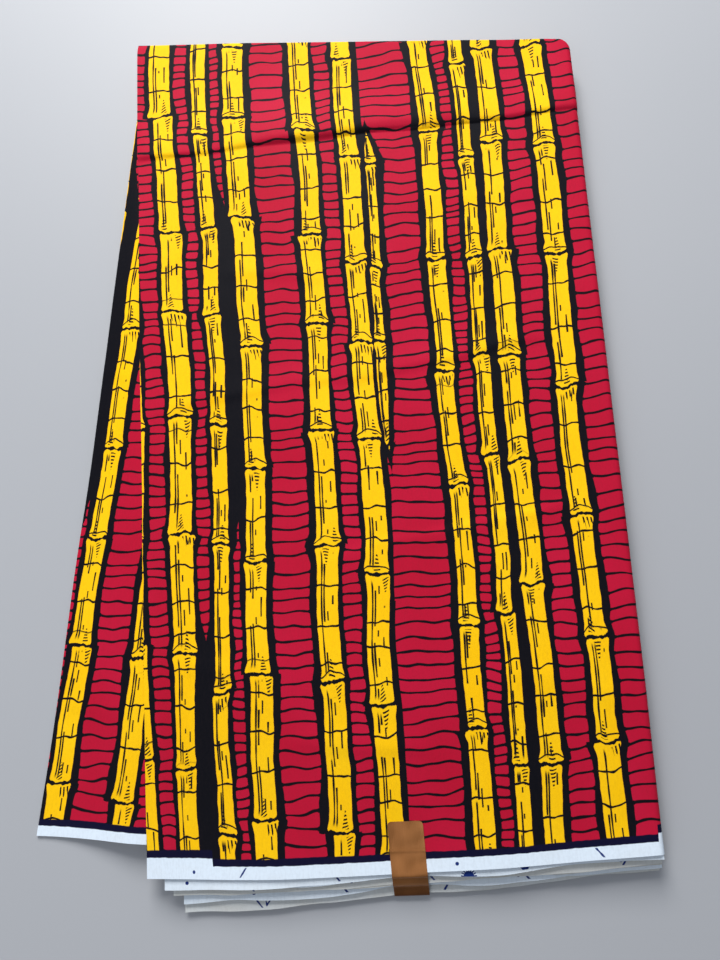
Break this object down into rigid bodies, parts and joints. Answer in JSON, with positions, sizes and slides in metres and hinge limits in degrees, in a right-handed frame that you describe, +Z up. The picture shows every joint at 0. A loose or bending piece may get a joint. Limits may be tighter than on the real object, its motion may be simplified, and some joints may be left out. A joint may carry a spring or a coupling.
{
  "type": "folded wax print fabric",
  "caption": "A length of wax print cotton folded flat into a stack of doubled leaves, with one leaf askew, white selvedge edges and a paper seal over the near edge.",
  "frame": {"origin": "centre of the bounding box's underside, where the folded cloth lies on the floor", "axes": "+Z up; +Y along the leaves, from the selvedge edges towards the width folds; +X towards the right-hand length folds"},
  "size_m": [0.4154, 0.643, 0.0206],
  "materials": {
    "wax_print_cotton": "crisp waxed plain weave with a soft sheen, printed",
    "white_selvedge": "unprinted plain weave",
    "foil_paper": "copper-brown satin paper"
  },
  "bodies": {
    "root": {"top_leaf": "wax_print_cotton", "side_flap": "wax_print_cotton", "hidden_leaves": "wax_print_cotton", "selvedge_ply_1": "white_selvedge", "selvedge_ply_2": "white_selvedge", "selvedge_ply_3": "white_selvedge", "selvedge_ply_4": "white_selvedge", "seal_label": "foil_paper"}
  },
  "joints": []
}
